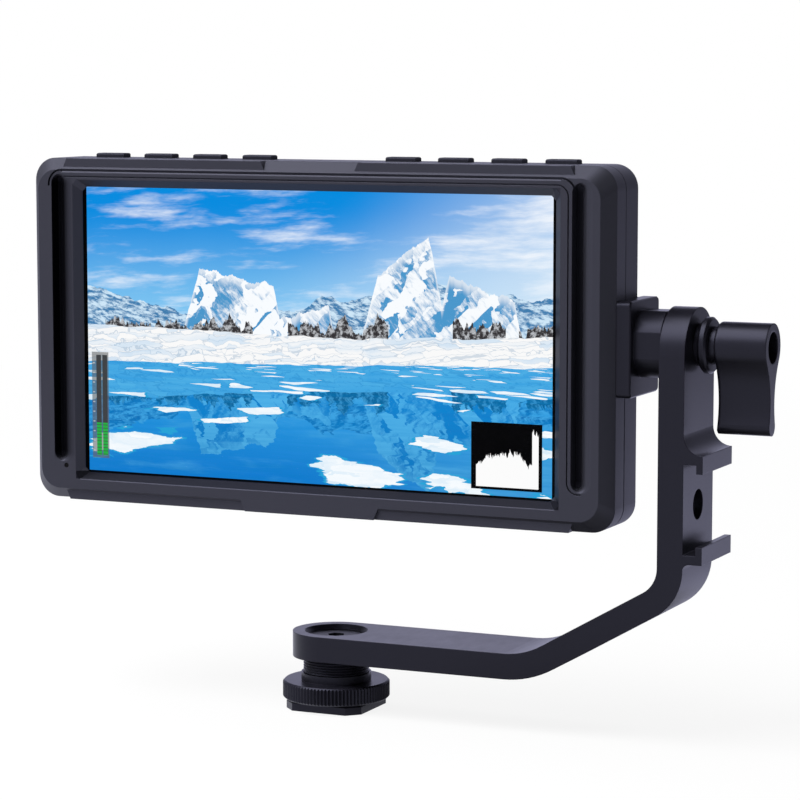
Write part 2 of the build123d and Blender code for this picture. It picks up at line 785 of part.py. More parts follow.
with BuildPart() as rear_cover:
    with BuildSketch(facing(parting_y)):
        case_outline(0)
    extrude(amount=parting_y - wall_end_y)
    with BuildSketch(facing(wall_end_y)):
        case_outline(0)
    with BuildSketch(facing(back_y)):
        case_outline(rear_taper_in, radius=back_corner_r)
    loft(ruled=True)
    chamfer(rear_cover.faces().sort_by(Axis.Y)[0].edges(), seam)
    # hollow inside
    with BuildSketch(facing(parting_y)):
        case_outline(wall)
    extrude(amount=parting_y - wall_end_y, mode=Mode.SUBTRACT)
    with BuildSketch(facing(wall_end_y)):
        case_outline(wall)
    with BuildSketch(facing(back_in_y)):
        case_outline(wall + rear_taper_in)
    loft(ruled=True, mode=Mode.SUBTRACT)
    # lip that enters the front frame
    with BuildSketch(facing(parting_y)):
        case_outline(wall + slip)
        case_outline(wall + slip + lip_t, Mode.SUBTRACT)
    extrude(amount=lip_h)
    with BuildSketch(facing(parting_y)):
        case_outline(wall - slip)
        case_outline(wall + slip + lip_t, Mode.SUBTRACT)
    extrude(amount=-lip_root)
    # solid block round the side thread, flush with the side wall
    with BuildSketch(facing(parting_y)):
        with Locations((body_w / 2 - pad_len / 2, body_drop - plate_drop)):
            Rectangle(pad_len, plate_h - 2 * plate_edge)
    extrude(amount=parting_y - back_y)
    # screw posts, key board ribs and main board standoffs
    with BuildSketch(facing(parting_y)):
        with Locations(*post_places):
            Circle(post_r)
    extrude(amount=parting_y - back_in_y - wall / 2)
    with BuildSketch(facing(back_in_y)):
        with Locations(*[(sx * (key_board_w / 2 - rib_w), key_board_z - rib_w / 2) for sx in (-1, 1)]):
            Rectangle(rib_w, rib_w)
    extrude(amount=back_in_y - key_y + key_d / 2)
    with BuildSketch(facing(back_in_y)):
        with GridLocations(body_w * 0.5, board_h * 0.7, 2, 2):
            Circle(post_r)
    extrude(amount=back_in_y - board_y - board_t)
    # bores
    with BuildSketch(across(side_x)):
        Circle(insert_r)
    extrude(amount=-insert_len - slip, mode=Mode.SUBTRACT)
    with BuildSketch(across(side_x - insert_len)):
        Circle(clamp_r + screw_gap)
    extrude(amount=-wall * 2, mode=Mode.SUBTRACT)
    with BuildSketch(facing(parting_y)):
        with Locations(*post_places):
            Circle(post_screw_r)
    extrude(amount=parting_y - back_y, mode=Mode.SUBTRACT)
    with BuildSketch(facing(back_y)):
        with Locations(*post_places):
            Circle(post_head_r + slip)
    extrude(amount=post_head_sunk, mode=Mode.SUBTRACT)
    # key slots
    with BuildSketch(top_wall):
        with Locations(*[(x, 0) for x in key_places]):
            Rectangle(key_slot_w, key_slot_d)
    extrude(amount=-wall - lip_t, mode=Mode.SUBTRACT)
    # ports on the left wall
    with BuildSketch(left_wall):
        with Locations(*[(0, z) for z in hdmi_places.values()]):
            Rectangle(hdmi_h, hdmi_w)
        with Locations((0, jack_z)):
            Circle(jack_nose_r)
        with Locations((0, power_z)):
            Circle(power_nose_r)
    extrude(amount=-wall - slip, mode=Mode.SUBTRACT)
    with BuildSketch(port_plane):
        with Locations((0, power_z)):
            Rectangle(2 * (power_nose_r + slip), 2 * (power_nose_r + slip))
    extrude(amount=-lip_t - slip, mode=Mode.SUBTRACT)
    # battery plate screws
    with BuildSketch(facing(back_y)):
        with Locations(*bay_screw_places):
            Circle(post_screw_r)
    extrude(amount=wall, mode=Mode.SUBTRACT)
finish(rear_cover, "rear_cover")

with BuildPart() as case_screws:
    with BuildSketch(facing(back_y - post_head_sunk)):
        with Locations(*post_places):
            Circle(post_head_r)
    extrude(amount=-post_head_t)
    with BuildSketch(facing(back_y - post_head_sunk)):
        with Locations(*post_places):
            Circle(post_screw_r)
    extrude(amount=back_y - post_head_sunk - parting_y + post_bite)
    with BuildSketch(facing(back_y - post_head_sunk + post_head_t)):
        with Locations(*post_places):
            Rectangle(cross_len, cross_w)
            Rectangle(cross_w, cross_len)
    extrude(amount=post_head_t / 2, mode=Mode.SUBTRACT)
finish(case_screws, "case_screws")

# ================================================================ keys and key board
key_top = top_z + key_proud

for number, key_x in enumerate(key_places, start=1):
    key_plane = Plane(origin=(body_x + key_x, key_y, body_z), x_dir=(1, 0, 0), z_dir=(0, 0, 1))
    with BuildPart() as key:
        with BuildSketch(key_plane.offset(flange_top)):
            Rectangle(key_w, key_d)
        extrude(amount=key_top - flange_top)
        fillet(key.faces().sort_by(Axis.Z)[-1].edges(), key_edge)
        with BuildSketch(key_plane.offset(flange_top)):
            Rectangle(key_w + 2 * key_flange, key_d + 2 * key_flange)
        extrude(amount=-key_flange_t)
        with BuildSketch(key_plane.offset(key_top)):
            with Locations((key_notch_x, 0)):
                Rectangle(key_notch, key_d / 2)
        extrude(amount=-key_notch_depth, mode=Mode.SUBTRACT)
    finish(key, f"key_{number}")

board_plane = Plane(origin=(body_x, key_y, body_z + key_board_z), x_dir=(1, 0, 0), z_dir=(0, 0, 1))
tact_plane = board_plane.offset(key_board_t)
tact_places = [(x, 0) for x in key_places]

with BuildPart() as key_board:
    with BuildSketch(board_plane):
        Rectangle(key_board_w, key_d + key_flange)
    extrude(amount=key_board_t)
finish(key_board, "key_board")

with BuildPart() as tact_switches:
    with BuildSketch(tact_plane):
        with Locations(*tact_places):
            Rectangle(tact_w, key_d)
    extrude(amount=tact_h)
    with BuildSketch(tact_plane.offset(tact_h)):
        with Locations(*tact_places):
            Circle(tact_plunger_r)
    extrude(amount=tact_plunger_h)
finish(tact_switches, "tact_switches")

# ================================================================ main board and ports
with BuildPart() as main_board:
    with BuildSketch(facing(board_y)):
        with Locations(((board_left + board_right) / 2 - body_x, 0)):
            Rectangle(board_right - board_left, board_h)
        with Locations((board_left - body_x, power_z)):
            Rectangle(2 * (power_len + slip), 2 * (power_nose_r + slip), mode=Mode.SUBTRACT)
    extrude(amount=-board_t)
finish(main_board, "main_board")

with BuildPart() as heat_sink:
    with BuildSketch(facing(board_y)):
        Rectangle(sink_w, sink_w)
    extrude(amount=sink_base_t)
    with BuildSketch(facing(board_y - sink_base_t)):
        with GridLocations(0, (sink_w - sink_fin_t) / (sink_fins - 1), 1, sink_fins):
            Rectangle(sink_w, sink_fin_t)
    extrude(amount=sink_t - sink_base_t)
finish(heat_sink, "heat_sink")

for port_name, port_z in hdmi_places.items():
    with BuildPart() as port:
        with BuildSketch(port_plane):
            with Locations((0, port_z)):
                Rectangle(hdmi_h, hdmi_w)
        extrude(amount=-hdmi_len)
        with BuildSketch(port_plane):
            with Locations((0, port_z)):
                Rectangle(hdmi_h - 2 * hdmi_skin, hdmi_w - 2 * hdmi_skin)
        extrude(amount=-hdmi_mouth, mode=Mode.SUBTRACT)
        with BuildSketch(port_plane.offset(-hdmi_tongue_in)):
            with Locations((0, port_z)):
                Rectangle(hdmi_tongue_t, hdmi_tongue_w)
        extrude(amount=hdmi_tongue_in - hdmi_mouth)
    finish(port, port_name)

with BuildPart() as headphone_jack:
    with BuildSketch(port_plane):
        with Locations((0, jack_z)):
            Rectangle(hdmi_h, jack_block)
    extrude(amount=-jack_len)
    with BuildSketch(left_wall):
        with Locations((0, jack_z)):
            Circle(jack_nose_r - slip)
    extrude(amount=-wall - slip)
    with BuildSketch(left_wall):
        with Locations((0, jack_z)):
            Circle(jack_bore_r)
    extrude(amount=-jack_bore_len, mode=Mode.SUBTRACT)
finish(headphone_jack, "headphone_jack")

with BuildPart() as power_jack:
    with BuildSketch(port_plane):
        with Locations((0, power_z)):
            Rectangle(2 * power_nose_r, 2 * power_nose_r)
    extrude(amount=-power_len)
    with BuildSketch(left_wall):
        with Locations((0, power_z)):
            Circle(power_nose_r - slip)
    extrude(amount=-wall - slip)
    with BuildSketch(left_wall):
        with Locations((0, power_z)):
            Circle(power_bore_r)
    extrude(amount=-power_bore_len, mode=Mode.SUBTRACT)
    with BuildSketch(left_wall.offset(-wall)):
        with Locations((0, power_z)):
            Circle(power_pin_r)
    extrude(amount=wall - power_bore_len)
finish(power_jack, "power_jack")

# ================================================================ battery plate, contacts and latch
with BuildPart() as battery_plate:
    with BuildSketch(facing(back_y)):
        RectangleRounded(bay_w, bay_h, bay_corner)
    extrude(amount=-bay_t)
    with BuildSketch(facing(bay_face_y)):
        with GridLocations(bay_w - bay_rail_w, 0, 2, 1):
            Rectangle(bay_rail_w, bay_rail_len)
    extrude(amount=-bay_rail_h)
    with BuildSketch(facing(bay_face_y + bay_rail_h - bay_lip_t)):
        with GridLocations(bay_w - bay_rail_w - bay_lip, 0, 2, 1):
            Rectangle(bay_rail_w + bay_lip, bay_rail_len)
    extrude(amount=-bay_lip_t)
    with BuildSketch(facing(bay_face_y)):
        with Locations((0, latch_low_z + (latch_room + latch_h) / 2)):
            Rectangle(latch_w + 2 * slip, latch_room + latch_h)
    extrude(amount=latch_t + slip, mode=Mode.SUBTRACT)
    with BuildSketch(facing(bay_face_y)):
        with Locations((0, contact_z)):
            Rectangle(bay_contact_w, bay_contact_h)
    extrude(amount=contact_sunk, mode=Mode.SUBTRACT)
    with BuildSketch(facing(bay_face_y)):
        with Locations(*bay_screw_places):
            Circle(bay_screw_head_r + slip)
    extrude(amount=bay_screw_head_t, mode=Mode.SUBTRACT)
    with BuildSketch(facing(bay_face_y)):
        with Locations(*bay_screw_places):
            Circle(post_screw_r)
    extrude(amount=bay_t, mode=Mode.SUBTRACT)
finish(battery_plate, "battery_plate")

with BuildPart() as battery_contacts:
    with BuildSketch(facing(bay_face_y - contact_sunk)):
        with Locations((0, contact_z)):
            with GridLocations(contact_pitch, 0, 3, 1):
                Rectangle(contact_t, bay_contact_h - 2 * slip)
    extrude(amount=-contact_sunk - contact_proud)
finish(battery_contacts, "battery_contacts")

with BuildPart() as plate_screws:
    with BuildSketch(facing(bay_face_y)):
        with Locations(*bay_screw_places):
            Circle(bay_screw_head_r)
    extrude(amount=bay_screw_head_t)
    with BuildSketch(facing(bay_face_y)):
        with Locations(*bay_screw_places):
            Circle(post_screw_r)
    extrude(amount=bay_t + wall)
    with BuildSketch(facing(bay_face_y)):
        with Locations(*bay_screw_places):
            Rectangle(cross_len, cross_w)
            Rectangle(cross_w, cross_len)
    extrude(amount=bay_screw_head_t / 2, mode=Mode.SUBTRACT)
finish(plate_screws, "plate_screws")

with BuildPart() as battery_latch:
    with BuildSketch(facing(bay_face_y)):
        with Locations((0, latch_mid_z)):
            Rectangle(latch_w, latch_h)
    extrude(amount=latch_t)
    with BuildSketch(facing(bay_face_y)):
        with Locations((0, latch_mid_z + latch_h / 2 - latch_catch)):
            Rectangle(latch_w - latch_catch, latch_catch)
        with Locations((0, latch_mid_z - latch_h / 4)):
            with GridLocations(0, latch_catch, 1, 3):
                Rectangle(latch_w - latch_catch, latch_catch / 2)
    extrude(amount=-latch_catch)
finish(battery_latch, "battery_latch")

spring_h = latch_room - spring_wire
spring_base = Plane(
    origin=(body_x, bay_face_y - latch_t / 2, body_z + latch_low_z + spring_wire / 2),
    x_dir=(1, 0, 0),
    z_dir=(0, 0, 1),
)
with BuildPart() as latch_spring:
    with BuildLine(spring_base):
        coil = Helix(pitch=spring_h / spring_turns, height=spring_h, radius=spring_r)
    with BuildSketch(Plane(origin=coil @ 0, z_dir=coil % 0)):
        Circle(spring_wire / 2)
    sweep(path=coil)
finish(latch_spring, "latch_spring")
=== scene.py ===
import json
import math

import bmesh
import bpy
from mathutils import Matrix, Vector


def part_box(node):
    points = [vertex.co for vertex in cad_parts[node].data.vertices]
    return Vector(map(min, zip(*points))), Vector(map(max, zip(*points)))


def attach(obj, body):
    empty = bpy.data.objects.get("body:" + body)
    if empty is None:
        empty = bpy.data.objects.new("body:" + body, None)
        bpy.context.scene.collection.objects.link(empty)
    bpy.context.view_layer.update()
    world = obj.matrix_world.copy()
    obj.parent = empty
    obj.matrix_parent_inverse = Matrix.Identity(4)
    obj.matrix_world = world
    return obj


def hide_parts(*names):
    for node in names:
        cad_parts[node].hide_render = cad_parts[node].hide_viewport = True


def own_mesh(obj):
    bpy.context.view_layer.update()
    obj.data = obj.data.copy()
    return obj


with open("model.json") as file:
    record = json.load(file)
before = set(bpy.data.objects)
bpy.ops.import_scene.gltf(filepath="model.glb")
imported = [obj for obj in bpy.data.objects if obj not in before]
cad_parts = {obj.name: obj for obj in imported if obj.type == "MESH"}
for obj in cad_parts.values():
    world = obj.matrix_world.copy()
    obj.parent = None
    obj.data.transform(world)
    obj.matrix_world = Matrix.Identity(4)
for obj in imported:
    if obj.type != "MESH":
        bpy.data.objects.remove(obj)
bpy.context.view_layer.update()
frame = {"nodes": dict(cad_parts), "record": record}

# Metres. The screen faces -Y, the tilt axis runs along X, the foot stands on z = 0.
MM = 0.001


# ---------------------------------------------------------------- material helpers
class Value:
    """A number from a node, with arithmetic that adds Math nodes."""

    def __init__(self, sheet, socket):
        self.sheet = sheet
        self.socket = socket

    def _math(self, operation, *terms):
        node = self.sheet.add("ShaderNodeMath", dict(operation=operation), terms)
        return Value(self.sheet, node.outputs[0])

    def __add__(self, other):
        return self._math("ADD", self, other)

    __radd__ = __add__

    def __mul__(self, other):
        return self._math("MULTIPLY", self, other)

    __rmul__ = __mul__

    def __sub__(self, other):
        return self._math("SUBTRACT", self, other)

    def __rsub__(self, other):
        return self._math("SUBTRACT", other, self)

    def __truediv__(self, other):
        return self._math("DIVIDE", self, other)

    def __rtruediv__(self, other):
        return self._math("DIVIDE", other, self)

    def __pow__(self, other):
        return self._math("POWER", self, other)

    def __abs__(self):
        return self._math("ABSOLUTE", self)

    def above(self, other):
        return self._math("GREATER_THAN", self, other)

    def below(self, other):
        return self._math("LESS_THAN", self, other)

    def between(self, low, high):
        return self.above(low) * self.below(high)

    def largest(self, other):
        return self._math("MAXIMUM", self, other)

    def least(self, other):
        return self._math("MINIMUM", self, other)

    def sine(self):
        return self._math("SINE", self)

    def modulo(self, step):
        return self._math("FLOORED_MODULO", self, step)

    def ramp(self, low, high):
        """0 at low, 1 at high, smooth between."""
        settings = dict(interpolation_type="SMOOTHSTEP")
        node = self.sheet.add("ShaderNodeMapRange", settings, {"Value": self, 1: low, 2: high})
        return Value(self.sheet, node.outputs[0])


class Graph:
    """The nodes of a material or of the world."""

    def __init__(self, owner):
        owner.use_nodes = True
        self.tree = owner.node_tree

    def add(self, kind, settings=None, inputs=()):
        """Adds a node: its settings first, then the values or links of its sockets."""
        node = self.tree.nodes.new(kind)
        for key, setting in (settings or {}).items():
            setattr(node, key, setting)
        pairs = inputs.items() if isinstance(inputs, dict) else enumerate(inputs)
        for key, value in pairs:
            self.feed(node.inputs[key], value)
        return node

    def feed(self, socket, value):
        if isinstance(value, Value):
            value = value.socket
        if isinstance(value, bpy.types.NodeSocket):
            self.tree.links.new(value, socket)
        elif socket.type == "RGBA" and len(value) == 3:
            socket.default_value = (*value, 1)
        else:
            socket.default_value = value

    def place(self):
        """Object coordinates: the shared frame at rest, in metres."""
        return self.add("ShaderNodeTexCoord").outputs["Object"]

    def axes(self, vector=None):
        parts = self.add("ShaderNodeSeparateXYZ", None, [vector or self.place()])
        return [Value(self, parts.outputs[i]) for i in range(3)]

    def join(self, x, y):
        return self.add("ShaderNodeCombineXYZ", None, [x, y]).outputs[0]

    def stretch(self, sizes):
        """The coordinates scaled along each axis."""
        return self.add("ShaderNodeVectorMath", dict(operation="MULTIPLY"), [self.place(), sizes]).outputs[0]

    def noise(self, scale, vector=None, detail=3.0, rough=0.5):
        inputs = {"Vector": vector or self.place(), "Scale": scale, "Detail": detail, "Roughness": rough}
        return Value(self, self.add("ShaderNodeTexNoise", None, inputs).outputs[0])

    def cells(self, scale, vector=None, feature="F1", output="Distance"):
        """Voronoi cells: the distance to their middle or edge, or a chance tone for each."""
        inputs = {"Vector": vector or self.place(), "Scale": scale}
        return Value(self, self.add("ShaderNodeTexVoronoi", dict(feature=feature), inputs).outputs[output])

    def line_noise(self, along, scale, detail=3.0, rough=0.5):
        """Noise over one number."""
        inputs = {"W": along, "Scale": scale, "Detail": detail, "Roughness": rough}
        node = self.add("ShaderNodeTexNoise", dict(noise_dimensions="1D"), inputs)
        return Value(self, node.outputs[0])

    def blend(self, share, low, high, how="MIX"):
        """A colour mixed from two others."""
        settings = dict(data_type="RGBA", blend_type=how)
        return self.add("ShaderNodeMix", settings, {0: share, 6: low, 7: high}).outputs[2]

    def rays(self):
        """Which rays are looking: those that show a surface, straight or through glass, and mirrored ones."""
        path = self.add("ShaderNodeLightPath")
        names = ("Is Camera Ray", "Is Transmission Ray", "Is Glossy Ray")
        camera, through, mirrored = (Value(self, path.outputs[name]) for name in names)
        return camera.largest(through), mirrored


class Sheet(Graph):
    """One material, with a Principled shader ready to take sockets."""

    def __init__(self, name):
        self.material = bpy.data.materials.new(name)
        super().__init__(self.material)
        self.shader = self.tree.nodes["Principled BSDF"]
        self.out = self.tree.nodes["Material Output"]

    def set(self, **sockets):
        """Feeds the Principled shader: underscores stand for the spaces in socket names."""
        for key, value in sockets.items():
            self.feed(self.shader.inputs[key.replace("_", " ")], value)
        return self.material

    def bump(self, height, depth, strength, normal=None):
        inputs = {"Strength": strength, "Distance": depth, "Height": height}
        if normal is not None:
            inputs["Normal"] = normal
        return self.add("ShaderNodeBump", None, inputs).outputs[0]

    def soft_edge(self, radius):
        """A normal that rounds the edges by this radius."""
        return self.add("ShaderNodeBevel", dict(samples=4), [radius]).outputs[0]

    def mix(self, share, first, second):
        """Shows a mix of two shaders instead of the Principled one alone."""
        node = self.add("ShaderNodeMixShader", None, [share, first.outputs[0], second.outputs[0]])
        self.tree.links.new(node.outputs[0], self.out.inputs["Surface"])


# ---------------------------------------------------------------- finishes
COOL = (0.8, 0.8, 1.0)          # faint blue of black anodising and of the case's plastic
ANODISED_SHINE = 0.29
ALLOY_EDGE = 0.25 * MM          # how far the edges of the metal parts are broken
MOULDED_EDGE = 0.2 * MM


def brushed_anodised(name, color, along):
    """Black anodised aluminium with fine brush lines, fading specks and softly broken edges."""
    s = Sheet(name)
    lines = s.noise(500, s.stretch(along), detail=4, rough=0.6)
    cloud = s.noise(60, detail=2)
    tone = s.blend(lines * 0.6 + cloud * 0.4, [c * 0.75 for c in color], [c * 1.3 for c in color])
    return s.set(Base_Color=tone, Roughness=0.24 + lines * 0.1 + cloud * 0.05,
                 Normal=s.bump(lines, 0.01 * MM, 0.5, s.soft_edge(ALLOY_EDGE)),
                 Specular_IOR_Level=ANODISED_SHINE, Specular_Tint=COOL)


def satin_anodised(name, color, gloss=0.28, edge=ALLOY_EDGE):
    """Bead-blasted and anodised aluminium."""
    s = Sheet(name)
    grain = s.noise(5200, detail=2)
    cloud = s.noise(90, detail=2)
    tone = s.blend(grain * 0.4 + cloud * 0.6, [c * 0.8 for c in color], [c * 1.25 for c in color])
    return s.set(Base_Color=tone, Roughness=gloss + grain * 0.06 + cloud * 0.05,
                 Normal=s.bump(grain, 0.008 * MM, 0.5, s.soft_edge(edge)),
                 Specular_IOR_Level=ANODISED_SHINE, Specular_Tint=COOL)


def moulded_plastic(name, color, gloss=0.4, shine=0.5, painted_shade_of=None):
    """Spark-textured moulded plastic, with painted shade where painted_shade_of, if given, says 1: near-black
    colour and less reflection there.
    """
    s = Sheet(name)
    grain = s.noise(6500, detail=2)
    cloud = s.noise(45, detail=2)
    tone = s.blend(cloud * 0.7 + grain * 0.3, [c * 0.85 for c in color], [c * 1.18 for c in color])
    # painted shade: where the mask says 1 the colour goes near black and a metallic share takes away the
    # plastic's reflection
    if painted_shade_of:
        shade = painted_shade_of(s)
        tone = s.blend(shade, tone, [c * 0.12 for c in color])
        s.set(Metallic=shade * 0.7)
    spark = s.cells(3600) * 0.5 + grain * 0.5
    return s.set(Base_Color=tone, Roughness=gloss + cloud * 0.05 + grain * 0.05,
                 Normal=s.bump(spark, 0.012 * MM, 0.6, s.soft_edge(MOULDED_EDGE)),
                 Specular_IOR_Level=shine, Specular_Tint=COOL)


def turned_metal(name, color, gloss=0.28):
    """Bare metal with turning marks and light specks."""
    s = Sheet(name)
    marks = s.noise(900, s.stretch((6, 1, 1)), detail=4, rough=0.65)
    tone = s.blend(marks, [c * 0.8 for c in color], [min(c * 1.1, 1) for c in color])
    return s.set(Base_Color=tone, Metallic=1.0, Roughness=gloss + marks * 0.14,
                 Normal=s.bump(marks, 0.01 * MM, 0.4))


def soft_rubber(name, color):
    """Matt rubber or foam with a fine grain."""
    s = Sheet(name)
    grain = s.noise(2600, detail=3)
    tone = s.blend(grain, [c * 0.7 for c in color], [c * 1.3 for c in color])
    return s.set(Base_Color=tone, Roughness=0.75 + grain * 0.15, Normal=s.bump(grain, 0.03 * MM, 0.6),
                 Specular_IOR_Level=0.25)


def circuit_board(name):
    """Green solder mask with faint tracks and tinned pads."""
    s = Sheet(name)
    x, _, z = s.axes()
    tracks = s.noise(160, s.stretch((1, 1, 5)), detail=0).between(0.46, 0.5)
    pads = (x.modulo(2.5 * MM).between(0.8 * MM, 1.6 * MM)) * (z.modulo(4 * MM).between(1.2 * MM, 2 * MM))
    base = s.blend(tracks, (0.012, 0.1, 0.045), (0.03, 0.2, 0.09))
    return s.set(Base_Color=s.blend(pads, base, (0.6, 0.6, 0.58)), Metallic=pads,
                 Roughness=0.45 - pads * 0.15)


def window_glass(name):
    """Clear cover glass: seen straight through, with a faint sheen at low angles."""
    s = Sheet(name)
    specks = s.noise(220, detail=3)
    s.set(Base_Color=(0.2, 0.22, 0.24), Roughness=0.03 + specks * 0.02, Specular_IOR_Level=0.2)
    sheen = Value(s, s.add("ShaderNodeFresnel", None, {"IOR": 1.06}).outputs[0])
    s.mix(sheen, s.add("ShaderNodeBsdfTransparent"), s.shader)
    return s.material


def smoked_lens(name):
    """The near-black lens over the status light."""
    s = Sheet(name)
    depth = s.noise(3000, detail=1)
    return s.set(Base_Color=s.blend(depth, (0.001, 0.001, 0.001), (0.003, 0.002, 0.002)), Roughness=0.3,
                 Specular_IOR_Level=0.1)


# ---------------------------------------------------------------- painted shade on the front frame: channels and window slope
FACE_Y = -11.8 * MM              # front of the case
WINDOW_X = -0.9 * MM             # outer edge of the slope round the picture
WINDOW_Z = 81.5 * MM
WINDOW_W = 114.8 * MM
WINDOW_H = 66.3 * MM
WINDOW_SLOPE = 1.7 * MM          # that slope's width, with a hair to spare
SLOPE_PAINTED_SHADE = 0.5                # share of painted shade on its right-hand side; the lower side has it in full
CHANNEL_LEFT = -63.6 * MM        # steep walls of the channels on either side of the picture
CHANNEL_RIGHT = 59.1 * MM
CHANNEL_W = 4.6 * MM
CHANNEL_Z = 84 * MM
CHANNEL_H = 64 * MM
CHANNEL_END = 2.5 * MM           # over this length the painted shade starts and stops
WALL_SKIN = 0.1 * MM             # takes in the steep wall's own face
LEFT_FADE = (2.6 * MM, 6 * MM)   # from the steep wall
RIGHT_FADE = (2 * MM, CHANNEL_W)
RIGHT_PAINTED_SHADE = 0.2
FLOOR_DEPTH = (2.4 * MM, 2.9 * MM)


# painted shade: the channels are drawn near black where their depth would shade them
def painted_channel_shade(x, y, z):
    """Painted shade where the channels' depth would shade them: 1 at the steep walls, less towards the soft
    sides.
    """
    tall = 1 - abs(z - CHANNEL_Z).ramp(CHANNEL_H / 2 - CHANNEL_END, CHANNEL_H / 2)
    in_left = x.between(CHANNEL_LEFT - WALL_SKIN, WINDOW_X - WINDOW_W / 2)
    in_right = x.between(CHANNEL_RIGHT - WALL_SKIN, CHANNEL_RIGHT + CHANNEL_W)
    left = in_left * (1 - (x - CHANNEL_LEFT).ramp(*LEFT_FADE))
    right = in_right * (1 - (x - CHANNEL_RIGHT).ramp(*RIGHT_FADE)) * RIGHT_PAINTED_SHADE
    right_floor = in_right * (y - FACE_Y).ramp(*FLOOR_DEPTH)
    return tall * left.largest(right).largest(right_floor)


# painted shade: the slope below the picture and right of it is drawn near black
def painted_slope_shade(x, z):
    """Painted shade on the window's slope, under the picture and right of it."""
    inside = abs(x - WINDOW_X).below(WINDOW_W / 2) * abs(z - WINDOW_Z).below(WINDOW_H / 2)
    under = z.below(WINDOW_Z - WINDOW_H / 2 + WINDOW_SLOPE)
    beside = x.above(WINDOW_X + WINDOW_W / 2 - WINDOW_SLOPE) * SLOPE_PAINTED_SHADE
    return inside * under.largest(beside)


def painted_frame_shade(s):
    """1 where shade is painted on the front frame as near black, 0 where it has its plain colour."""
    x, y, z = s.axes()
    return painted_slope_shade(x, z).largest(painted_channel_shade(x, y, z))


# ---------------------------------------------------------------- the picture on the screen
PICTURE_X = -1.4 * MM            # middle of the lit area
PICTURE_Z = 81.5 * MM
PICTURE_W = 110.4 * MM
PICTURE_H = 62.9 * MM


